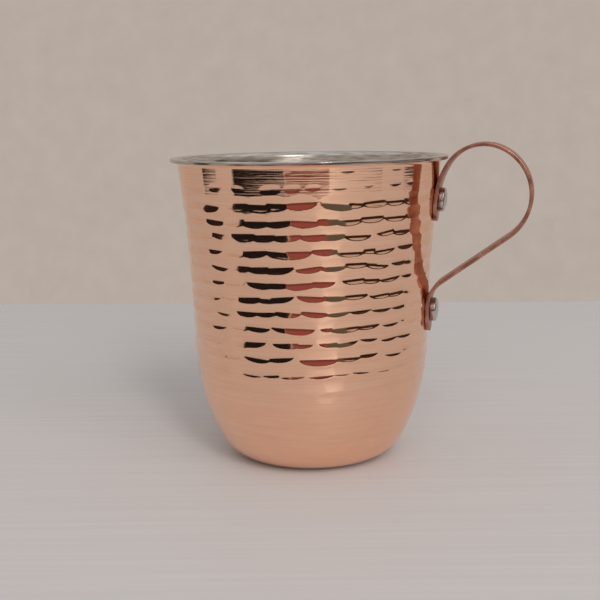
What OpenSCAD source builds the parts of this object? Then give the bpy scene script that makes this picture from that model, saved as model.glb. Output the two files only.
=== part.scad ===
// Hammered copper mug with a tinned inside and a riveted strap handle.
// The mug stands on z = 0 with its axis on Z. The handle lies in the XZ plane, on the +X side.

/* [Mug] */
// Outside diameter of the rim
rim_d = 90; // [86:1:94]
// Height of the rim above the table
mug_h = 99; // [96:1:103]
// Thickness of the copper sheet
wall_t = 1.1; // [0.9:0.1:1.3]
// Thickness of the tin coat, drawn heavier than the real one
coat_t = 0.2; // [0.15:0.05:0.3]
// How far the rim stands out from the wall below it
lip_reach = 2.3; // [2.1:0.1:3]
// Inside radius of the bend under the rim
lip_bend_r = 0.9; // [0.6:0.1:1.2]

/* [Wall outline] */
// Radius of the round between the flat base and the belly
heel_r = 14.2; // [12:0.2:16]
// How far the heel turns up from the flat base, in degrees
heel_turn = 62; // [58:1:66]
// Radius of the belly above the heel
belly_r = 69; // [60:1:75]
// Steepness of the wall where the belly ends, in degrees
belly_end = 89; // [88:0.5:89.5]
// Radius of the slow outward flare from the belly to the rim
flare_r = 530; // [450:10:700]

/* [Handle] */
// Width of the copper strap
strap_w = 11; // [10:0.5:14]
// Thickness of the copper strap
strap_t = 1.25; // [1:0.05:1.5]
// Height of the upper rivet's centre
upper_rivet_z = 85.2; // [83:0.2:87]
// Distance from the upper rivet down to the lower one
rivet_drop = 35.6; // [34:0.2:37]
// Length of each foot below its rivet
foot_tail = 7; // [6.5:0.1:8]
// Flat length of each foot above its rivet
foot_lead = 2.1; // [1.5:0.1:2.5]
// Radius of the bend that takes the strap away from the wall
lead_bend_r = 21.5; // [19:0.5:24]
// Angle of that bend, in degrees
lead_turn = 25.5; // [24:0.5:27]
// Radius of the bend over the top
top_bend_r = 13.1; // [12:0.1:14]
// Angle of that bend, in degrees
top_turn = 84; // [81:1:87]
// Angle of the bend down the outside of the loop
outer_turn = 119.5; // [118:0.5:121]
// Radius of the bend that brings the strap back to the wall
return_bend_r = 9.5; // [8:0.5:11]

/* [Rivets] */
// Diameter of the rivet shank
shank_d = 4; // [3:0.5:4.5]
// Diameter of the outer head
head_d = 7.6; // [7:0.2:8.4]
// Height of the outer head
head_h = 2.2; // [1.8:0.1:2.6]
// Height of the outer head's domed part
dome_h = 0.7; // [0.5:0.1:1.2]
// Diameter of the end that is hammered over inside the mug
tail_d = 6.4; // [5.6:0.2:7]
// Height of that end above the tin
tail_h = 1.2; // [0.9:0.1:1.5]

/* [Hidden] */
$fn = 180;

copper = [0.76, 0.48, 0.36];
tin = [0.72, 0.71, 0.69];
steel_grey = [0.70, 0.70, 0.70];

rim_r = rim_d / 2;
neck_r = rim_r - lip_reach;
lip_edge_r = rim_r - coat_t;
skin_t = wall_t + coat_t;
lip_under_z = mug_h - skin_t;
lower_rivet_z = upper_rivet_z - rivet_drop;
arc_step = 4;
flare_steps = 10;
// Gap between the strap's back and the wall, where each rivet holds them together
seat_gap = 0.05;

// ---- The turned outline of the wall ----

// The wall's slope is its angle from level: 0 on the flat base, 90 where it is upright.
belly_turn = belly_end - heel_turn;
heel_out = heel_r * sin(heel_turn);
heel_up = heel_r * (1 - cos(heel_turn));
belly_out = belly_r * (sin(belly_end) - sin(heel_turn));
belly_up = belly_r * (cos(heel_turn) - cos(belly_end));
flare_z = heel_up + belly_up;

// Slope of the flaring part of the wall at height z
function flare_slope(z) = acos(cos(belly_end) + (z - flare_z) / flare_r);
// How far the flare has carried the wall outward at height z
function flare_out(z) = flare_r * (sin(belly_end) - sin(flare_slope(z)));

// The lip's bend starts at the neck, where the wall still leans out a little
neck_slope = flare_slope(lip_under_z - lip_bend_r);
neck_z = lip_under_z - lip_bend_r * (1 - cos(neck_slope));

base_r = neck_r - heel_out - belly_out - flare_out(neck_z);
flare_foot_r = base_r + heel_out + belly_out;

// Outside radius and outward lean of the wall, at any height on the flare
function wall_r(z) = flare_foot_r + flare_out(z);
function wall_lean(z) = 90 - flare_slope(z);

// Points of an arc about (cx, cz), from one direction to another in n steps
function arc(cx, cz, r, from, to, n) =
    [for (i = [0:n]) let (a = from + (to - from) * i / n) [cx + r * cos(a), cz + r * sin(a)]];

function steps_for(turn) = ceil(abs(turn) / arc_step);

// Outline of the sheet at a given depth below its outer surface, from the axis to the rim.
// The heel and the belly curve about centres inside the mug, the flare and the lip about
// centres outside it, so the depth is taken off the first two radii and added to the others.
function outline(depth) =
    let (
        belly_cx = base_r + heel_out - belly_r * sin(heel_turn),
        belly_cz = heel_up + belly_r * cos(heel_turn),
        flare_cx = flare_foot_r + flare_r * sin(belly_end),
        flare_cz = flare_z - flare_r * cos(belly_end),
        lip_cx = neck_r + lip_bend_r * sin(neck_slope),
        lip_cz = lip_under_z - lip_bend_r
    )
    without_repeats(concat(
        [[0, depth]],
        arc(base_r, heel_r, heel_r - depth, -90, heel_turn - 90, steps_for(heel_turn)),
        arc(belly_cx, belly_cz, belly_r - depth, heel_turn - 90, belly_end - 90, steps_for(belly_turn)),
        arc(flare_cx, flare_cz, flare_r + depth, belly_end + 90, neck_slope + 90, flare_steps),
        arc(lip_cx, lip_cz, lip_bend_r + depth, neck_slope + 90, 90, steps_for(neck_slope)),
        [[lip_edge_r, lip_under_z + depth]]
    ));

function reversed(list) = [for (i = [len(list) - 1:-1:0]) list[i]];

// Consecutive arcs meet at a shared point, which is kept once
function without_repeats(list) =
    [for (i = [0:len(list) - 1]) if (i == 0 || norm(list[i] - list[i - 1]) > 0.001) list[i]];

// Space inside the mug, within the tin coat
module cavity() {
    rotate_extrude()
        polygon(concat(outline(skin_t), [[0, mug_h]]));
}

// ---- Placing things on the wall ----

// Puts its children at height z on the handle side: x points out of the wall, z up along it
module on_wall(z) {
    translate([wall_r(z), 0, z])
        rotate([0, wall_lean(z), 0])
            children();
}

// A round bar along the rivet's line, from one distance out of the wall to another
module rivet_bar(z, d, from, to) {
    on_wall(z)
        translate([from, 0, 0])
            rotate([0, 90, 0])
                cylinder(d = d, h = to - from);
}

module rivet_holes() {
    for (z = [upper_rivet_z, lower_rivet_z])
        rivet_bar(z, shank_d, -5, 5);
}

// ---- The strap's path, in the XZ plane ----

// A move is [radius, turn]: a bend, positive turning left. A straight is [length, 0].
// A place is [x, z, heading], with the heading measured up from +X.

// How far a bend of radius 1 travels, so a bend of radius r travels r times as far
function unit_bend(heading, turn) =
    sign(turn) * [sin(heading + turn) - sin(heading), cos(heading) - cos(heading + turn)];

function travel(heading, move, share) =
    move[1] == 0
        ? share * move[0] * [cos(heading), sin(heading)]
        : move[0] * unit_bend(heading, share * move[1]);

// The place reached after a given share of a move
function along(place, move, share) =
    let (t = travel(place[2], move, share))
    [place[0] + t[0], place[1] + t[1], place[2] + share * move[1]];

function stops(place, move) =
    let (n = move[1] == 0 ? 1 : steps_for(move[1]))
    [for (i = [1:n]) along(place, move, i / n)];

// Every place that the path passes: the start, then the stops of each move in turn
function walk(start, moves) =
    concat(
        [start],
        [for (i = 0, at = start; i < len(moves); at = along(at, moves[i], 1), i = i + 1)
            each stops(at, moves[i])]
    );

// Where the strap's middle line passes each rivet, and which way it runs there
mid_out = seat_gap + strap_t / 2;
upper_lean = wall_lean(upper_rivet_z);
lower_lean = wall_lean(lower_rivet_z);
upper_mid = [
    wall_r(upper_rivet_z) + mid_out * cos(upper_lean),
    upper_rivet_z - mid_out * sin(upper_lean)
];
lower_mid = [
    wall_r(lower_rivet_z) + mid_out * cos(lower_lean),
    lower_rivet_z - mid_out * sin(lower_lean)
];
up_heading = 90 - upper_lean;
down_heading = -90 - lower_lean;

leave = upper_mid + foot_lead * [cos(up_heading), sin(up_heading)];
land = lower_mid - foot_lead * [cos(down_heading), sin(down_heading)];

top_heading = up_heading - lead_turn;
outer_heading = top_heading - top_turn;
run_heading = outer_heading - outer_turn;
return_turn = down_heading - run_heading;

// The outer bend's radius and the straight run's length are whatever closes the path:
// outer_bend_r * outer_unit + run_len * run_unit covers the gap that the other bends leave.
outer_unit = unit_bend(outer_heading, -outer_turn);
run_unit = [cos(run_heading), sin(run_heading)];
gap = land - leave
    - lead_bend_r * unit_bend(up_heading, -lead_turn)
    - top_bend_r * unit_bend(top_heading, -top_turn)
    - return_bend_r * unit_bend(run_heading, return_turn);
spread = outer_unit[0] * run_unit[1] - outer_unit[1] * run_unit[0];
outer_bend_r = (gap[0] * run_unit[1] - gap[1] * run_unit[0]) / spread;
run_len = (outer_unit[0] * gap[1] - outer_unit[1] * gap[0]) / spread;

strap_start = [
    upper_mid[0] - foot_tail * cos(up_heading),
    upper_mid[1] - foot_tail * sin(up_heading),
    up_heading
];
strap_moves = [
    [foot_tail + foot_lead, 0],
    [lead_bend_r, -lead_turn],
    [top_bend_r, -top_turn],
    [outer_bend_r, -outer_turn],
    [run_len, 0],
    [return_bend_r, return_turn],
    [foot_lead + foot_tail, 0]
];

function beside(place, off) = [place[0] - off * sin(place[2]), place[1] + off * cos(place[2])];

// The strap as a plain band of constant thickness and width, with square ends
module strap_band() {
    places = walk(strap_start, strap_moves);
    left_side = [for (p = places) beside(p, strap_t / 2)];
    right_side = [for (p = places) beside(p, -strap_t / 2)];
    rotate([90, 0, 0])
        linear_extrude(height = strap_w, center = true)
            polygon(concat(left_side, reversed(right_side)));
}

// What is cut away to round the end of a foot into a tongue
module tongue_cut(z) {
    tongue_r = strap_w / 2;
    on_wall(z)
        translate([-1, 0, tongue_r - foot_tail])
            rotate([0, 90, 0])
                difference() {
                    translate([0, -strap_w, 0])
                        cube([2 * strap_w, 2 * strap_w, 4]);
                    translate([0, 0, -1])
                        cylinder(r = tongue_r, h = 6);
                }
}

// ---- The pieces ----

// Copper shell: flat base, round heel, belly, flaring wall and turned-out rim
module mug_body() {
    color(copper)
        difference() {
            rotate_extrude()
                polygon(concat(outline(0), reversed(outline(wall_t))));
            rivet_holes();
        }
}

// Tin coat over the whole inside, the top of the rim and the rim's outer edge
module tin_lining() {
    edge = [
        [lip_edge_r, lip_under_z],
        [rim_r, lip_under_z],
        [rim_r, mug_h]
    ];
    color(tin)
        difference() {
            rotate_extrude()
                polygon(concat(outline(wall_t), edge, reversed(outline(skin_t))));
            rivet_holes();
        }
}

// One strip of copper, bent to a loop, with a foot at each end that lies on the wall
module handle_strap() {
    color(copper)
        difference() {
            strap_band();
            tongue_cut(upper_rivet_z);
            tongue_cut(lower_rivet_z);
            rivet_holes();
        }
}

// Domed outer head, standing on the strap
module rivet_head(z) {
    dome_r = (pow(head_d / 2, 2) + pow(dome_h, 2)) / (2 * dome_h);
    on_wall(z)
        translate([seat_gap + strap_t, 0, 0])
            rotate([0, 90, 0])
                intersection() {
                    cylinder(d = head_d, h = head_h);
                    translate([0, 0, head_h - dome_r])
                        sphere(r = dome_r);
                }
}

// Low dome hammered over inside the mug, bedded on the curve of the tin
module rivet_tail(z) {
    tail_r = tail_d / 2;
    dome_r = (pow(tail_r, 2) + pow(tail_h, 2)) / (2 * tail_h);
    intersection() {
        on_wall(z)
            translate([dome_r - skin_t - tail_h, 0, 0])
                sphere(r = dome_r);
        rivet_bar(z, tail_d, -skin_t - tail_h - 1, 0);
        cavity();
    }
}

// One rivet: shank through strap, copper and tin, with a head outside and a tail inside.
// The head is closed down on the strap where the strap begins to bend.
module rivet(z) {
    color(steel_grey)
        union() {
            rivet_bar(z, shank_d, -skin_t - tail_h / 2, seat_gap + strap_t + 0.5);
            difference() {
                rivet_head(z);
                strap_band();
            }
            rivet_tail(z);
        }
}

module upper_rivet() { rivet(upper_rivet_z); }
module lower_rivet() { rivet(lower_rivet_z); }

mug_body();
tin_lining();
handle_strap();
upper_rivet();
lower_rivet();
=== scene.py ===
"""The looks of the hammered copper mug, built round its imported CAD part.

Lengths are in millimetres and angles in degrees unless a name says otherwise. Meshes are built in
millimetres and turned into metres as they are made. The mug stands on z = 0 with its axis on Z, and the
handle lies in the XZ plane on the +X side.
"""

import math

import bmesh
import bpy
import numpy as np
from mathutils import Matrix, Vector


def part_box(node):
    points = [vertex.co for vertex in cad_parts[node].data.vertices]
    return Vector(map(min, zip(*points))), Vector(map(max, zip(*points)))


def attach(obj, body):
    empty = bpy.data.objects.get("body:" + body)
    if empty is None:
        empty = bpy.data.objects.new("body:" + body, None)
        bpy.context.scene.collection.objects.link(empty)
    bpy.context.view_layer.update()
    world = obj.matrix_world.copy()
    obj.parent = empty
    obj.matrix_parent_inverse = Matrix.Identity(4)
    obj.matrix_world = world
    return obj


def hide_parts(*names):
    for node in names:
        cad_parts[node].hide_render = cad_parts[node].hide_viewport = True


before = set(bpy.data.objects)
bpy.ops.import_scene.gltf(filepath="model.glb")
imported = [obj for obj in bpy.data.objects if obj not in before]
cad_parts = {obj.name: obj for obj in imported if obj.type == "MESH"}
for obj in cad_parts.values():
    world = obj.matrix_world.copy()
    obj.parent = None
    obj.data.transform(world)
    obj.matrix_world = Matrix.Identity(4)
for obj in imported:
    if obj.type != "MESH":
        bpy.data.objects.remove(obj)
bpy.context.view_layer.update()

MM = 0.001
SEED = 20

# ---- Driving sizes, the same as in the CAD source ----

RIM_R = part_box("tin_lining")[1].x / MM
MUG_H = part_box("tin_lining")[1].z / MM
WALL_T = 1.1
COAT_T = 0.2
LIP_REACH = 2.3
LIP_BEND_R = 0.9
HEEL_R = 14.2
HEEL_TURN = 62
BELLY_R = 69
BELLY_END = 89
FLARE_R = 530

STRAP_W = 11
STRAP_T = 1.25
UPPER_RIVET_Z = 85.2
LOWER_RIVET_Z = 49.6
FOOT_TAIL = 7
FOOT_LEAD = 2.1
LEAD_BEND_R = 21.5
LEAD_TURN = 25.5
TOP_BEND_R = 13.1
TOP_TURN = 84
OUTER_TURN = 119.5
RETURN_BEND_R = 9.5
SEAT_GAP = 0.05

SHANK_R = 2
HEAD_R = 3.8
HEAD_H = 2.2
DOME_H = 0.7
TAIL_R = 3.2
TAIL_H = 1.2

# ---- Sizes that only the looks need ----

# Columns round each turned piece, and the steps along the sheet's outline: hammered, seen, and hidden
SHELL_COLUMNS = 800
TIN_COLUMNS = 360
RIVET_COLUMNS = 96
SHEET_STEP = 0.28
INSIDE_STEP = 1.2
HIDDEN_STEP = 3
BASE_RINGS = 8
# Stations along the strap, and in each tongue's round
STRAP_STATIONS = 190
TONGUE_STATIONS = 15
# Rings on each rivet's head dome and tail dome
HEAD_RINGS = 14
TAIL_RINGS = 12
# The lip's bend and the small rounds on edges are cut into steps of their radius divided by these
LIP_BEND_STEPS = 8
EDGE_STEPS = 5
FOOT_STEPS = 4
# The visible skin is kept this far inside the CAD surface where that surface sets the part's box
EASE = 0.02
RIM_ROUND = 0.35
LIP_CORNER_R = 0.35
STRAP_EDGE_R = 0.3
RIVET_EDGE_R = 0.3
# The rivet head's side reaches down this far over the strap's curved-in edges, and is bevelled there
HEAD_SKIRT = 0.18
SKIRT_BEVEL = 0.1
TAIL_BEVEL = 0.05

# Hammer marks: one spiral of dents, each from a face curved up and down and nearly flat across.
# They were struck from the base upward, so each mark's lower edge lies over the row below it.
ROW_PITCH = 4.61
MARKS_PER_TURN = 34.6
FRONT_ROW = 91.5
TOP_ROW_FADE = (88.2, 92.4)
# How deep the rows are struck at each height: the lowest full rows deepest, then fading away
ROW_HEIGHTS = (22, 30.5, 35, 39, 44)
ROW_STRENGTHS = (0.1, 1.35, 1.6, 1.05, 1)
MARK_DEPTH = 0.19
MARK_ACROSS_R = 66
MARK_UPRIGHT_R = 11.5
# How far the metal outside a mark's edge is pushed up, as the height that its bowl has climbed there
PUSHED_UP = 0.22
# A row hides the one below it fully once its marks have this share of their depth
FULL_ROW_SHARE = 0.4
# How unevenly the marks were struck. Two slow drifts along the spiral, as (marks, radians a mark, start),
# the most that a mark is off its place in marks, and standard deviations for the rest: height off the row,
# share of the depth, lean up and down, lean round the mug, and turn of the hammer's face.
DRIFTS = ((0.3, 0.113, 0), (0.2, 0.041, 1))
OFF_PLACE = 0.13
OFF_ROW = 0.14
DEPTH_SPREAD = 0.10
LEAN_UP = 0.017
LEAN_ROUND = 0.022
FACE_TURN = 0.05
# The spiral's marks are numbered over this many turns below the front row and as many above it
SPIRAL_TURNS = 60

# Fine rings left by turning: how far they tilt the surface, and the range of their spacing
RING_TILT = 0.030
RING_GAPS = (0.56, 1.05)
RING_COUNT = 16
# The rings are plain above the marks, faint over them, and soft again below them
RINGS_ABOVE = (87, 91)
RINGS_BELOW = (22, 34)
RINGS_ON_MARKS = 0.10
RINGS_ON_BASE = 0.35

# How far past each foot's flat length the strap still follows the wall's curve
FOOT_CURVE_END = 8
# How far round a foot the hammer marks are pressed flat
PRESSED_MARGIN = 1.5

# Height along the wall is measured along the sheet, and agrees with z here
LEVEL_Z = 60
# The flat base is plain, and the marks and rings come in over these heights along the wall
PLAIN_BASE_FADE = (1, 8)

# ---- Where the camera stood, worked out from the photograph with the handle at 12.5 degrees ----

HANDLE_TURN = 12.5
CAMERA_BACK = 366.8
CAMERA_UP = 112.94
CAMERA_PITCH = 9.49
CAMERA_YAW = -0.56
CAMERA_ROLL = -0.86
LENS_MM = 67.28

skin_t = WALL_T + COAT_T
neck_r = RIM_R - LIP_REACH
lip_edge_r = RIM_R - COAT_T
lip_under_z = MUG_H - skin_t


def sin(angle):
    return math.sin(math.radians(angle))


def cos(angle):
    return math.cos(math.radians(angle))


# ---- The turned outline of the wall, as in the CAD source ----

heel_out = HEEL_R * sin(HEEL_TURN)
heel_up = HEEL_R * (1 - cos(HEEL_TURN))
belly_out = BELLY_R * (sin(BELLY_END) - sin(HEEL_TURN))
belly_up = BELLY_R * (cos(HEEL_TURN) - cos(BELLY_END))
flare_z = heel_up + belly_up


def flare_slope(z):
    """Slope of the flaring wall at height z, 90 where it is upright."""
    return math.degrees(math.acos(cos(BELLY_END) + (z - flare_z) / FLARE_R))


def flare_out(z):
    return FLARE_R * (sin(BELLY_END) - sin(flare_slope(z)))


neck_slope = flare_slope(lip_under_z - LIP_BEND_R)
neck_z = lip_under_z - LIP_BEND_R * (1 - cos(neck_slope))
base_r = neck_r - heel_out - belly_out - flare_out(neck_z)
flare_foot_r = base_r + heel_out + belly_out


def wall_r(z):
    return flare_foot_r + flare_out(z)


def wall_lean(z):
    return 90 - flare_slope(z)


def arc(centre, radius, depth, start, end, step):
    """Points of an arc at radius + depth, as many at every depth, so that arcs at two depths match."""
    count = max(3, math.ceil(abs(math.radians(end - start)) * radius / step))
    angles = np.radians(np.linspace(start, end, count + 1))
    reach = radius + depth
    return np.column_stack([centre[0] + reach * np.cos(angles), centre[1] + reach * np.sin(angles)])


def outline(depth, step):
    """The sheet's outline at a depth below its outer surface, from the axis to the rim's edge."""
    belly_centre = (base_r + heel_out - BELLY_R * sin(HEEL_TURN), heel_up + BELLY_R * cos(HEEL_TURN))
    flare_centre = (flare_foot_r + FLARE_R * sin(BELLY_END), flare_z - FLARE_R * cos(BELLY_END))
    lip_centre = (neck_r + LIP_BEND_R * sin(neck_slope), lip_under_z - LIP_BEND_R)
    lip_step = min(step, LIP_BEND_R / LIP_BEND_STEPS)
    flat = np.linspace(0, base_r, BASE_RINGS, endpoint=False)
    parts = [
        np.column_stack([flat, np.full(BASE_RINGS, depth)]),
        arc((base_r, HEEL_R), HEEL_R, -depth, -90, HEEL_TURN - 90, step)[:-1],
        arc(belly_centre, BELLY_R, -depth, HEEL_TURN - 90, BELLY_END - 90, step)[:-1],
        arc(flare_centre, FLARE_R, depth, BELLY_END + 90, neck_slope + 90, step)[:-1],
        arc(lip_centre, LIP_BEND_R, depth, neck_slope + 90, 90, lip_step),
    ]
    return np.vstack(parts)


# ---- Making meshes ----


def new_object(name, points, faces):
    """A smooth-shaded object from points in millimetres."""
    mesh = bpy.data.meshes.new(name)
    mesh.from_pydata((np.asarray(points) * MM).tolist(), [], faces)
    mesh.validate()
    mesh.polygons.foreach_set("use_smooth", [True] * len(mesh.polygons))
    made = bpy.data.objects.new(name, mesh)
    bpy.context.scene.collection.objects.link(made)
    return made


def lathe(name, rings, columns):
    """A closed surface from rings of (radius, height) samples, with a point at each end.

    rings is an array of rows x columns x 2. The first and last rows lie on the axis.
    """
    angles = np.linspace(0, 2 * np.pi, columns, endpoint=False)
    inner = rings[1:-1]
    rows = len(inner)
    radius, height = inner[:, :, 0], inner[:, :, 1]
    points = np.stack([radius * np.cos(angles), radius * np.sin(angles), height], axis=-1).reshape(-1, 3)
    first_pole = [[0, 0, rings[0, 0, 1]]]
    last_pole = [[0, 0, rings[-1, 0, 1]]]
    points = np.vstack([points, first_pole, last_pole])
    first, last = rows * columns, rows * columns + 1
    column = np.arange(columns)
    after = (column + 1) % columns
    faces = []
    for row in range(rows - 1):
        low, high = row * columns, (row + 1) * columns
        faces += np.column_stack([low + column, low + after, high + after, high + column]).tolist()
    top = (rows - 1) * columns
    faces += [[first, int(b), int(a)] for a, b in zip(column, after)]
    faces += [[last, int(top + a), int(top + b)] for a, b in zip(column, after)]
    return new_object(name, points, faces)


def spun(line, columns):
    """The same ring samples all the way round, for a surface with nothing on it."""
    return np.repeat(np.asarray(line, float)[:, None, :], columns, axis=1)


# ---- The hammered shell ----


def fade(value, start, end):
    """0 before start, 1 after end, and a straight line between."""
    return np.clip((value - start) / (end - start), 0, 1)


def strikes(first, count):
    """The spiral's marks: place along the spiral, height off the row, depth, lean both ways, and turn."""
    dice = np.random.default_rng(SEED)
    index = np.arange(first, first + count)
    drift = sum(size * np.sin(rate * index + start) for size, rate, start in DRIFTS)
    place = index + drift + dice.uniform(-OFF_PLACE, OFF_PLACE, count)
    off_row = dice.normal(0, OFF_ROW, count)
    depth = dice.normal(1, DEPTH_SPREAD, count)
    lean_up = dice.normal(0, LEAN_UP, count)
    lean_round = dice.normal(0, LEAN_ROUND, count)
    turn = dice.normal(0, FACE_TURN, count)
    return place, off_row, depth, lean_up, lean_round, turn


def row_depths(row, turns_at, height, mark_gap, first, marks):
    """Height of one row's bowls below the plain wall, negative outside them, and how full the row is."""
    place, off_row, strength, lean_up, lean_round, turn = marks
    here = (row + turns_at[None, :]) * MARKS_PER_TURN
    deepest = np.full(row.shape, -np.inf)
    for step in (-2, -1, 0, 1, 2):
        k = np.round(here).astype(int) + step - first
        across = (here - place[k]) * mark_gap
        row_height = FRONT_ROW + place[k] / MARKS_PER_TURN * ROW_PITCH
        climb = (here - place[k]) / MARKS_PER_TURN * ROW_PITCH
        upright = height[:, None] - row_height - climb - off_row[k] + turn[k] * across
        top_share = 1 - fade(row_height, *TOP_ROW_FADE)
        row_share = np.interp(row_height, ROW_HEIGHTS, ROW_STRENGTHS)
        bowl = across**2 / (2 * MARK_ACROSS_R) + upright**2 / (2 * MARK_UPRIGHT_R)
        lean = lean_up[k] * upright + lean_round[k] * across
        deepest = np.maximum(deepest, strength[k] * MARK_DEPTH * top_share * row_share - bowl + lean)
    middle = FRONT_ROW + (row + turns_at[None, :]) * ROW_PITCH
    fullness = np.clip((1 - fade(middle, *TOP_ROW_FADE)) / FULL_ROW_SHARE, 0, 1)
    return deepest, fullness


def dent_depths(height, angles, radius):
    """How deep the hammer marks go, for rings at the given heights along the wall and radii."""
    turns_at = (angles - math.radians(HANDLE_TURN - 90)) / (2 * np.pi)
    spiral_turns = (height[:, None] - FRONT_ROW) / ROW_PITCH - turns_at[None, :]
    first = -SPIRAL_TURNS * math.ceil(MARKS_PER_TURN)
    marks = strikes(first, -2 * first)
    mark_gap = 2 * np.pi * radius[:, None] / MARKS_PER_TURN
    nearest_row = np.round(spiral_turns)
    depth = np.zeros(spiral_turns.shape)
    for upward in (-1, 0, 1):
        bowls, fullness = row_depths(nearest_row + upward, turns_at, height, mark_gap, first, marks)
        outside = np.clip(-bowls / PUSHED_UP, 0, 1)
        kept = outside**2 * (3 - 2 * outside)
        depth = np.maximum(bowls, 0) + depth * (1 - fullness * (1 - kept))
    return depth


def pressed_flat(height, angles, radius):
    """1 under the handle's feet, 0 away from them."""
    y = radius[:, None] * np.sin(angles)[None, :]
    beside = fade(STRAP_W / 2 + PRESSED_MARGIN - np.abs(y), 0, PRESSED_MARGIN)
    beside = beside * (np.cos(angles) > 0)[None, :]
    under = np.zeros(len(height))
    for z in (UPPER_RIVET_Z, LOWER_RIVET_Z):
        low, high = z - FOOT_TAIL - PRESSED_MARGIN, z + FOOT_LEAD + 2 * PRESSED_MARGIN
        inside = fade(height, low, low + PRESSED_MARGIN) * (1 - fade(height, high - PRESSED_MARGIN, high))
        under = np.maximum(under, inside)
    return beside * under[:, None]


def turned_rings(height):
    """Depth of the fine rings at each height: waves of many spacings, so that none repeats."""
    dice = np.random.default_rng(SEED + 1)
    gaps = dice.uniform(*RING_GAPS, RING_COUNT)
    starts = dice.uniform(0, 2 * np.pi, RING_COUNT)
    tilt = RING_TILT * math.sqrt(2 / RING_COUNT)
    waves = []
    for gap, start in zip(gaps, starts):
        waves.append(tilt * gap / (2 * np.pi) * np.sin(2 * np.pi * height / gap + start))
    above = fade(height, *RINGS_ABOVE)
    below = 1 - fade(height, *RINGS_BELOW)
    share = RINGS_ON_MARKS + (1 - RINGS_ON_MARKS) * above + (RINGS_ON_BASE - RINGS_ON_MARKS) * below
    return share * np.sum(waves, axis=0)


def hammered_shell():
    """The copper sheet: hammered outside, plain inside, closed at the rim's edge."""
    angles = np.linspace(0, 2 * np.pi, SHELL_COLUMNS, endpoint=False)
    outside = outline(0, SHEET_STEP)
    inward = outline(1, SHEET_STEP) - outside
    steps = np.linalg.norm(np.diff(outside, axis=0), axis=1)
    run = np.concatenate([[0], np.cumsum(steps)])
    wall_height = run - np.interp(LEVEL_Z, outside[:, 1], run) + LEVEL_Z
    dents = dent_depths(wall_height, angles, outside[:, 0])
    dents *= 1 - pressed_flat(wall_height, angles, outside[:, 0])
    dents += np.maximum(turned_rings(wall_height), -EASE)[:, None]
    dents *= (fade(wall_height, *PLAIN_BASE_FADE) * (outside[:, 0] < neck_r + EASE))[:, None]
    hammered = outside[:, None, :] + dents[:, :, None] * inward[:, None, :]
    corner_r = LIP_CORNER_R
    corner_centre = (lip_edge_r - corner_r, lip_under_z + corner_r)
    corner = arc(corner_centre, corner_r, 0, -90, 0, corner_r / EDGE_STEPS)
    edge = corner.tolist() + [[lip_edge_r, lip_under_z + WALL_T]]
    inside = outline(WALL_T, HIDDEN_STEP)[::-1]
    rings = np.concatenate([hammered, spun(edge, SHELL_COLUMNS), spun(inside, SHELL_COLUMNS)])
    return lathe("hammered_shell", rings, SHELL_COLUMNS)


# ---- The tin inside ----


def tin_coat():
    """The tin over the inside, the flat of the rim and the rim's outer edge."""
    edge_r = RIM_R - EASE
    tin_foot = lip_under_z + LIP_CORNER_R
    back = [[lip_edge_r, lip_under_z + WALL_T], [lip_edge_r, tin_foot]]
    foot_r = COAT_T - EASE
    foot = arc((lip_edge_r, tin_foot), foot_r, 0, -60, 0, foot_r / FOOT_STEPS)
    corner_centre = (edge_r - RIM_ROUND, MUG_H - RIM_ROUND)
    corner = arc(corner_centre, RIM_ROUND, 0, 0, 90, RIM_ROUND / EDGE_STEPS)
    line = np.vstack([outline(WALL_T, HIDDEN_STEP), back, foot, corner, outline(skin_t, INSIDE_STEP)[::-1]])
    return lathe("tin_coat", spun(line, TIN_COLUMNS), TIN_COLUMNS)


# ---- The strap ----


def unit_bend(heading, turn):
    """How far a bend of radius 1 travels."""
    side = math.copysign(1, turn)
    return side * np.array([sin(heading + turn) - sin(heading), cos(heading) - cos(heading + turn)])


def direction(heading):
    return np.array([cos(heading), sin(heading)])


def on_wall(z, out):
    """The point a distance out of the wall at height z, and the heading up the wall there."""
    lean = wall_lean(z)
    return np.array([wall_r(z) + out * cos(lean), z - out * sin(lean)]), 90 - lean


def strap_path():
    """The strap's middle line: its start at the upper foot's tip, the heading there, and its moves.

    Each move is (length, 0) for a straight run, or (radius, turn) for a bend.
    """
    mid_out = SEAT_GAP + STRAP_T / 2
    upper_mid, up_heading = on_wall(UPPER_RIVET_Z, mid_out)
    lower_mid, lower_up = on_wall(LOWER_RIVET_Z, mid_out)
    down_heading = lower_up - 180
    leave = upper_mid + FOOT_LEAD * direction(up_heading)
    land = lower_mid - FOOT_LEAD * direction(down_heading)
    top_heading = up_heading - LEAD_TURN
    outer_heading = top_heading - TOP_TURN
    run_heading = outer_heading - OUTER_TURN
    return_turn = down_heading - run_heading
    gap = (
        land
        - leave
        - LEAD_BEND_R * unit_bend(up_heading, -LEAD_TURN)
        - TOP_BEND_R * unit_bend(top_heading, -TOP_TURN)
        - RETURN_BEND_R * unit_bend(run_heading, return_turn)
    )
    closing = np.column_stack([unit_bend(outer_heading, -OUTER_TURN), direction(run_heading)])
    outer_bend_r, run_len = np.linalg.solve(closing, gap)
    moves = [
        (FOOT_TAIL + FOOT_LEAD, 0),
        (LEAD_BEND_R, -LEAD_TURN),
        (TOP_BEND_R, -TOP_TURN),
        (outer_bend_r, -OUTER_TURN),
        (run_len, 0),
        (RETURN_BEND_R, return_turn),
        (FOOT_LEAD + FOOT_TAIL, 0),
    ]
    place = upper_mid - FOOT_TAIL * direction(up_heading)
    heading = up_heading
    return place, heading, moves


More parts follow.
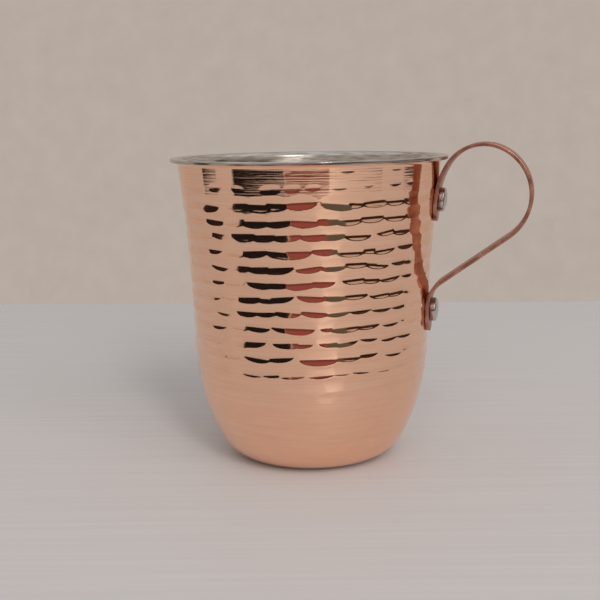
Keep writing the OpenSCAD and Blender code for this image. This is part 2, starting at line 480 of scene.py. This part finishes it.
def walk_strap(distance):
    """The strap's middle line at a distance from its upper tip: the place and the heading."""
    place, heading, moves = strap_path()
    for size, turn in moves:
        length = size if turn == 0 else size * math.radians(abs(turn))
        share = min(1, max(0, distance / length))
        if turn == 0:
            place = place + share * size * direction(heading)
        else:
            place = place + size * unit_bend(heading, share * turn) if share > 0 else place
        heading = heading + share * turn
        distance -= length
        if distance <= 0:
            break
    return place, heading


def strap_length():
    _, _, moves = strap_path()
    return sum(size if turn == 0 else size * math.radians(abs(turn)) for size, turn in moves)


def strap_section():
    """Half the strap's cross-section: (inset from its side, height off its middle), top to bottom."""
    half = STRAP_T / 2 - EASE
    turns = np.linspace(90, 0, 5)
    top = [(STRAP_EDGE_R * (1 - cos(a)), half - STRAP_EDGE_R + STRAP_EDGE_R * sin(a)) for a in turns]
    return top + [(inset, -height) for inset, height in reversed(top)]


def strap_stations(length):
    """(distance of the station's centre line, angle on the tongue's round) from tip to tip."""
    tongue_r = STRAP_W / 2
    turns = np.linspace(0, 90, TONGUE_STATIONS)
    first = [(tongue_r, a) for a in turns]
    middle = [(s, 90) for s in np.linspace(tongue_r, length - tongue_r, STRAP_STATIONS)[1:-1]]
    last = [(length - tongue_r, 180 - a) for a in reversed(turns)]
    return first + middle + last


def foot_drop(distance, length, y):
    """How far a foot's side is bent in towards the round wall, and the wall's lean there."""
    z = UPPER_RIVET_Z if distance < length / 2 else LOWER_RIVET_Z
    flat = FOOT_TAIL + FOOT_LEAD
    share = 1 - fade(min(distance, length - distance), flat, flat + FOOT_CURVE_END)
    radius = wall_r(z)
    return share * (radius - math.sqrt(radius**2 - y**2)), wall_lean(z)


def strap():
    """One copper strip with rounded edges and a round tongue at each end, bent along its path."""
    length = strap_length()
    section = strap_section()
    tongue_r = STRAP_W / 2
    rings = []
    for centre, turn in strap_stations(length):
        ring = []
        for side in (1, -1):
            half = section if side == 1 else section[::-1]
            for inset, height in half:
                reach = tongue_r - inset
                distance = centre - reach * cos(turn)
                y = side * reach * sin(turn)
                place, heading = walk_strap(distance)
                drop, lean = foot_drop(distance, length, y)
                x = place[0] - height * sin(heading) - drop * cos(lean)
                z = place[1] + height * cos(heading) + drop * sin(lean)
                ring.append((x, y, z))
        rings.append(ring)
    around = len(rings[0])
    points = [point for ring in rings for point in ring]
    faces = []
    for i in range(len(rings) - 1):
        for j in range(around):
            k = (j + 1) % around
            faces.append([i * around + j, i * around + k, (i + 1) * around + k, (i + 1) * around + j])
    made = new_object("strap", points, faces)
    join_doubles(made)
    return made


def join_doubles(made):
    work = bmesh.new()
    work.from_mesh(made.data)
    bmesh.ops.remove_doubles(work, verts=work.verts, dist=1e-7)
    bmesh.ops.recalc_face_normals(work, faces=work.faces)
    work.to_mesh(made.data)
    work.free()


# ---- The rivets ----


def rivet(name, z):
    """A rivet turned about its own line: drum head with a low dome, shank, and a low dome inside."""
    seat = SEAT_GAP + STRAP_T
    skirt = seat - HEAD_SKIRT
    dome_r = (HEAD_R**2 + DOME_H**2) / (2 * DOME_H)
    dome_centre = seat + HEAD_H - dome_r
    shoulder = seat + HEAD_H - DOME_H
    reach = HEAD_R - RIVET_EDGE_R
    dome_turns = np.linspace(0, math.degrees(math.asin(reach / dome_r)), HEAD_RINGS)
    dome = [(dome_r * sin(a), dome_centre + dome_r * cos(a)) for a in dome_turns]
    side = arc((reach, shoulder - RIVET_EDGE_R), RIVET_EDGE_R, 0, 60, 0, RIVET_EDGE_R / EDGE_STEPS)
    side = side.tolist() + [(HEAD_R, skirt + SKIRT_BEVEL), (HEAD_R - SKIRT_BEVEL, skirt)]
    tail_dome_r = (TAIL_R**2 + TAIL_H**2) / (2 * TAIL_H)
    tail_end = -skin_t - TAIL_H
    tail_turns = np.linspace(math.degrees(math.asin(TAIL_R / tail_dome_r)), 0, TAIL_RINGS)
    tail = [(tail_dome_r * sin(a), tail_end + tail_dome_r - tail_dome_r * cos(a)) for a in tail_turns]
    shank = [(SHANK_R, skirt), (SHANK_R, -skin_t), (TAIL_R - TAIL_BEVEL, -skin_t)]
    line = np.array(dome + side + shank + tail)[::-1]
    made = lathe(name, spun(line, RIVET_COLUMNS), RIVET_COLUMNS)
    join_doubles(made)
    centre, _ = on_wall(z, 0)
    turn = Matrix.Rotation(math.radians(90 + wall_lean(z)), 4, "Y")
    made.data.transform(Matrix.Translation((centre[0] * MM, 0, centre[1] * MM)) @ turn)
    return made


# ---- Materials ----

# Noise lies mostly between these values, which are spread over the range asked for
NOISE_RANGE = (0.3, 0.7)
# Heights over which the copper's satin base turns bright, and over which its plain band is streaked
SATIN_HEIGHTS = (14, 38)
STREAK_HEIGHTS = (86, 91)


class Shader:
    """A material's node tree, with short ways to add what these materials share."""

    def __init__(self, name, colour, roughness):
        self.material = bpy.data.materials.new(name)
        self.material.use_nodes = True
        self.nodes = self.material.node_tree.nodes
        self.links = self.material.node_tree.links
        self.surface = self.nodes["Principled BSDF"]
        self.surface.inputs["Metallic"].default_value = 1
        self.surface.inputs["Roughness"].default_value = roughness
        self.surface.inputs["Base Color"].default_value = (*colour, 1)

    def node(self, kind, **settings):
        made = self.nodes.new(kind)
        for key, value in settings.items():
            setattr(made, key, value)
        return made

    def math(self, operation, first, second):
        made = self.node("ShaderNodeMath", operation=operation)
        for socket, value in zip(made.inputs, (first, second)):
            if isinstance(value, (int, float)):
                socket.default_value = value
            else:
                self.links.new(value, socket)
        return made.outputs[0]

    def place(self):
        return self.node("ShaderNodeTexCoord").outputs["Object"]

    def around_axis(self, round_scale, up_scale):
        """A place as (angle round Z, height, radius), each scaled, for noise that follows turned work."""
        split = self.node("ShaderNodeSeparateXYZ")
        self.links.new(self.place(), split.inputs[0])
        x, y, z = split.outputs
        angle = self.math("ARCTAN2", y, x)
        radius = self.math("SQRT", self.math("ADD", self.math("POWER", x, 2), self.math("POWER", y, 2)), 0)
        joined = self.node("ShaderNodeCombineXYZ")
        self.links.new(self.math("MULTIPLY", angle, round_scale), joined.inputs[0])
        self.links.new(self.math("MULTIPLY", z, up_scale), joined.inputs[1])
        self.links.new(self.math("MULTIPLY", radius, up_scale), joined.inputs[2])
        return joined.outputs[0]

    def noise(self, place, scale, detail=3.0):
        made = self.node("ShaderNodeTexNoise")
        made.inputs["Scale"].default_value = scale
        made.inputs["Detail"].default_value = detail
        self.links.new(place, made.inputs["Vector"])
        return made.outputs[0]

    def spread(self, value, low, high):
        """Noise turned into a range."""
        made = self.node("ShaderNodeMapRange")
        made.inputs["From Min"].default_value = NOISE_RANGE[0]
        made.inputs["From Max"].default_value = NOISE_RANGE[1]
        made.inputs["To Min"].default_value = low
        made.inputs["To Max"].default_value = high
        self.links.new(value, made.inputs["Value"])
        return made.outputs[0]

    def rough(self, value, low, high):
        self.links.new(self.spread(value, low, high), self.surface.inputs["Roughness"])

    def tint(self, value, dark, light):
        made = self.node("ShaderNodeMix", data_type="RGBA")
        made.inputs["A"].default_value = (*dark, 1)
        made.inputs["B"].default_value = (*light, 1)
        self.links.new(self.spread(value, 0, 1), made.inputs["Factor"])
        self.links.new(made.outputs["Result"], self.surface.inputs["Base Color"])

    def by_height(self, heights, low, high):
        """A value that changes from low to high between two heights on the mug."""
        split = self.node("ShaderNodeSeparateXYZ")
        self.links.new(self.place(), split.inputs[0])
        made = self.node("ShaderNodeMapRange", interpolation_type="SMOOTHSTEP")
        made.inputs["From Min"].default_value = heights[0] * MM
        made.inputs["From Max"].default_value = heights[1] * MM
        made.inputs["To Min"].default_value = low
        made.inputs["To Max"].default_value = high
        self.links.new(split.outputs[2], made.inputs["Value"])
        return made.outputs[0]

    def bump(self, value, height_mm, strength):
        """Fine relief. strength is a number, or a socket where it changes over the surface."""
        made = self.node("ShaderNodeBump")
        made.inputs["Distance"].default_value = height_mm * MM
        if isinstance(strength, (int, float)):
            made.inputs["Strength"].default_value = strength
        else:
            self.links.new(strength, made.inputs["Strength"])
        self.links.new(value, made.inputs["Height"])
        self.links.new(made.outputs[0], self.surface.inputs["Normal"])


def hammered_copper():
    """Bright over the marks, streaked by turning above them, and satin towards the base."""
    shader = Shader("hammered_copper", (1.0, 0.605, 0.42), 0.06)
    lines = shader.noise(shader.around_axis(2.5, 5200), 1, 2)
    satin = shader.by_height(SATIN_HEIGHTS, 0.13, 0.0)
    gloss = shader.spread(lines, 0.035, 0.085)
    shader.links.new(shader.math("ADD", gloss, satin), shader.surface.inputs["Roughness"])
    streaks = shader.noise(shader.around_axis(2.0, 2300), 1, 3)
    shader.tint(streaks, (0.95, 0.565, 0.385), (1.0, 0.635, 0.45))
    streaked = shader.by_height(STREAK_HEIGHTS, 0.05, 0.85)
    ringed = shader.by_height(SATIN_HEIGHTS, 0.30, 0.0)
    shader.bump(streaks, 0.018, shader.math("ADD", streaked, ringed))
    return shader.material


def strap_copper():
    shader = Shader("strap_copper", (0.47, 0.235, 0.17), 0.4)
    patches = shader.noise(shader.place(), 230)
    shader.tint(patches, (0.34, 0.16, 0.115), (0.60, 0.315, 0.235))
    shader.rough(patches, 0.34, 0.48)
    shader.bump(shader.noise(shader.place(), 1100), 0.002, 0.3)
    return shader.material


def wiped_tin():
    """Satin inside the mug, streaked round its axis by the wiping cloth."""
    shader = Shader("wiped_tin", (0.55, 0.51, 0.47), 0.3)
    lines = shader.noise(shader.around_axis(7, 1500), 1, 4)
    shader.tint(lines, (0.38, 0.35, 0.32), (0.72, 0.69, 0.655))
    shader.rough(lines, 0.10, 0.26)
    shader.bump(lines, 0.02, 0.32)
    return shader.material


def rivet_metal():
    shader = Shader("rivet_metal", (0.58, 0.55, 0.55), 0.2)
    grain = shader.noise(shader.place(), 900)
    shader.tint(grain, (0.50, 0.47, 0.47), (0.64, 0.61, 0.61))
    shader.rough(grain, 0.14, 0.28)
    shader.bump(grain, 0.01, 0.3)
    return shader.material


# ---- The stage ----


def turned(x, y, z):
    """A point given as seen from the camera's side (x right, y away, z up), in metres in the row frame."""
    return Matrix.Rotation(math.radians(HANDLE_TURN), 4, "Z") @ Vector((x * MM, y * MM, z * MM))


def staged(name, points, faces, material):
    """A piece of the surroundings, from points on the camera's side in millimetres."""
    mesh = bpy.data.meshes.new(name)
    mesh.from_pydata([tuple(turned(*point)) for point in points], [], faces)
    made = bpy.data.objects.new(name, mesh)
    bpy.context.scene.collection.objects.link(made)
    made.data.materials.append(material)
    return made


# The table's edges before and behind the mug, half its width, its thickness, how far its top lies below
# the mug's base, and how its back edge runs
TABLE_FRONT = -352
TABLE_BACK = 299
TABLE_HALF = 900
TABLE_THICK = 30
TABLE_DROP = 0.2
TABLE_OUT_OF_SQUARE = -0.05


def table_paint():
    """Pale paint brushed out from side to side."""
    shader = Shader("table_paint", (0.63, 0.605, 0.605), 0.5)
    shader.surface.inputs["Metallic"].default_value = 0
    shader.surface.inputs["Specular IOR Level"].default_value = 0.25
    turn = shader.node("ShaderNodeMapping")
    turn.inputs["Rotation"].default_value = (0, 0, math.radians(-HANDLE_TURN))
    shader.links.new(shader.place(), turn.inputs["Vector"])
    stretch = shader.node("ShaderNodeMapping")
    stretch.inputs["Scale"].default_value = (9, 420, 1)
    shader.links.new(turn.outputs[0], stretch.inputs["Vector"])
    lines = shader.noise(stretch.outputs[0], 1, 4)
    shader.tint(lines, (0.61, 0.585, 0.585), (0.65, 0.625, 0.625))
    shader.bump(lines, 0.03, 0.35)
    return shader.material


def table():
    """A pale table top that ends in front of the camera and, a little out of square, behind the mug."""
    skew = TABLE_OUT_OF_SQUARE * TABLE_HALF
    corners = [
        (-TABLE_HALF, TABLE_FRONT),
        (TABLE_HALF, TABLE_FRONT),
        (TABLE_HALF, TABLE_BACK + skew),
        (-TABLE_HALF, TABLE_BACK - skew),
    ]
    points = [(x, y, -TABLE_DROP - t) for t in (0, TABLE_THICK) for x, y in corners]
    faces = [[0, 1, 2, 3], [7, 6, 5, 4]]
    for i in range(4):
        j = (i + 1) % 4
        faces.append([i, i + 4, j + 4, j])
    return staged("table", points, faces, table_paint())


# Plain boards that only reflections show. They stand for the dark and red things in the room that the
# copper mirrors, and for its walls: (name, from, to, distance from the mug's axis, bottom, top, colour).
# The angles are taken round the mug from the camera, positive to the right.
BOARD_STEP = 4
BOARDS = [
    ("dark_left", -99, -82, 338, 28, 100, (0.020, 0.014, 0.012)),
    ("black", -65, -19.6, 338, 0, 82, (0.012, 0.010, 0.011)),
    ("red_low", -19, 16, 338, 0, 30, (0.150, 0.050, 0.048)),
    ("red", -19, 16, 338, 30, 112, (0.250, 0.085, 0.080)),
    ("grey_green", 16, 31, 420, 0, 122, (0.100, 0.105, 0.085)),
    ("brown_right", 31, 62, 430, 0, 48, (0.030, 0.018, 0.014)),
    ("brown_right_high", 31, 62, 560, 86, 220, (0.050, 0.032, 0.022)),
    ("brown_far_right", 62, 102, 560, 0, 50, (0.030, 0.018, 0.014)),
    ("brown_far_right_high", 62, 102, 700, 88, 240, (0.050, 0.032, 0.022)),
    ("dark_right", 84, 96, 338, 28, 62, (0.040, 0.025, 0.018)),
    ("walls", -180, 180, 1600, -1200, 1500, (0.47, 0.405, 0.355)),
]


def glow(name, colour):
    """A plain colour that needs no light."""
    material = bpy.data.materials.new(name)
    material.use_nodes = True
    nodes = material.node_tree.nodes
    nodes.remove(nodes["Principled BSDF"])
    emission = nodes.new("ShaderNodeEmission")
    emission.inputs["Color"].default_value = (*colour, 1)
    material.node_tree.links.new(emission.outputs[0], nodes["Material Output"].inputs["Surface"])
    return material


def boards():
    for name, start, end, distance, bottom, top, colour in BOARDS:
        count = math.ceil((end - start) / BOARD_STEP)
        angles = np.linspace(start, end, count + 1)
        points = [(distance * sin(a), -distance * cos(a), z) for a in angles for z in (bottom, top)]
        faces = [[2 * i, 2 * i + 2, 2 * i + 3, 2 * i + 1] for i in range(count)]
        made = staged(name, points, faces, glow(name, colour))
        made.visible_camera = False
        made.visible_diffuse = False
        made.visible_shadow = False


# Light from all sides, what smooth things mirror from above, and the wall's two plaster colours
AMBIENT = (0.430, 0.425, 0.423)
CEILING = (0.66, 0.65, 0.645)
PLASTER_DARK = (0.435, 0.375, 0.325)
PLASTER_PALE = (0.505, 0.435, 0.385)
PLASTER_SCALE = 60


def room():
    """Soft light from all sides, a paler ceiling in reflections, and mottled plaster past the table."""
    world = bpy.data.worlds.new("room")
    bpy.context.scene.world = world
    world.use_nodes = True
    nodes, links = world.node_tree.nodes, world.node_tree.links
    path = nodes.new("ShaderNodeLightPath")
    patches = nodes.new("ShaderNodeTexNoise")
    patches.inputs["Scale"].default_value = PLASTER_SCALE
    patches.inputs["Detail"].default_value = 4
    links.new(nodes.new("ShaderNodeTexCoord").outputs["Generated"], patches.inputs["Vector"])

    def mix(factor, first, second):
        made = nodes.new("ShaderNodeMix")
        made.data_type = "RGBA"
        links.new(factor, made.inputs["Factor"])
        for name, colour in (("A", first), ("B", second)):
            if isinstance(colour, tuple):
                made.inputs[name].default_value = (*colour, 1)
            else:
                links.new(colour, made.inputs[name])
        return made.outputs["Result"]

    plaster = mix(patches.outputs[0], PLASTER_DARK, PLASTER_PALE)
    without_camera = mix(path.outputs["Is Glossy Ray"], AMBIENT, CEILING)
    everything = mix(path.outputs["Is Camera Ray"], without_camera, plaster)
    links.new(everything, nodes["Background"].inputs["Color"])


LAMP_COLOUR = (1, 0.96, 0.92)
# The lamps are aimed at this point of the mug
LAMP_TARGET = (0, 0, 40)


def lamp(name, place, size, watts, mirrored):
    """A soft light at a place in millimetres, of a size in metres."""
    light = bpy.data.lights.new(name, "AREA")
    light.shape = "RECTANGLE"
    light.size, light.size_y = size
    light.energy = watts
    light.color = LAMP_COLOUR
    made = bpy.data.objects.new(name, light)
    bpy.context.scene.collection.objects.link(made)
    made.location = turned(*place)
    made.rotation_mode = "QUATERNION"
    made.rotation_quaternion = (turned(*LAMP_TARGET) - made.location).to_track_quat("-Z", "Y")
    made.visible_glossy = mirrored


def camera():
    ahead = Vector((sin(CAMERA_YAW), cos(CAMERA_YAW), 0))
    forward = cos(CAMERA_PITCH) * ahead - sin(CAMERA_PITCH) * Vector((0, 0, 1))
    level = Vector((cos(CAMERA_YAW), -sin(CAMERA_YAW), 0))
    lift = level.cross(forward)
    right = cos(CAMERA_ROLL) * level + sin(CAMERA_ROLL) * lift
    up = -sin(CAMERA_ROLL) * level + cos(CAMERA_ROLL) * lift
    data = bpy.data.cameras.new("camera")
    data.lens = LENS_MM
    data.sensor_width = 36
    data.clip_start = 0.01
    made = bpy.data.objects.new("camera", data)
    bpy.context.scene.collection.objects.link(made)
    facing = Matrix((right, up, -forward)).transposed().to_4x4()
    stand = Matrix.Translation((0, -CAMERA_BACK * MM, CAMERA_UP * MM))
    made.matrix_world = Matrix.Rotation(math.radians(HANDLE_TURN), 4, "Z") @ stand @ facing
    bpy.context.scene.camera = made


# ---- Putting it together ----

PIECES = [
    (hammered_shell, (), "mug_body", "hammered_copper", hammered_copper),
    (tin_coat, (), "tin_lining", "tin", wiped_tin),
    (strap, (), "handle_strap", "strap_copper", strap_copper),
    (rivet, ("upper_rivet_set", UPPER_RIVET_Z), "upper_rivet", "rivet_metal", rivet_metal),
    (rivet, ("lower_rivet_set", LOWER_RIVET_Z), "lower_rivet", "rivet_metal", rivet_metal),
]

materials = {}
for make, given, node, slot, paint in PIECES:
    piece = make(*given)
    if slot not in materials:
        materials[slot] = paint()
    piece.data.materials.append(materials[slot])
    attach(piece, "root")
    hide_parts(node)

table()
boards()
room()
lamp("window", (520, -1800, 1150), (0.35, 1.2), 15, True)
lamp("front_fill", (1150, -3450, 2000), (5.0, 3.6), 102, False)
camera()
bpy.context.scene.view_settings.view_transform = "Standard"
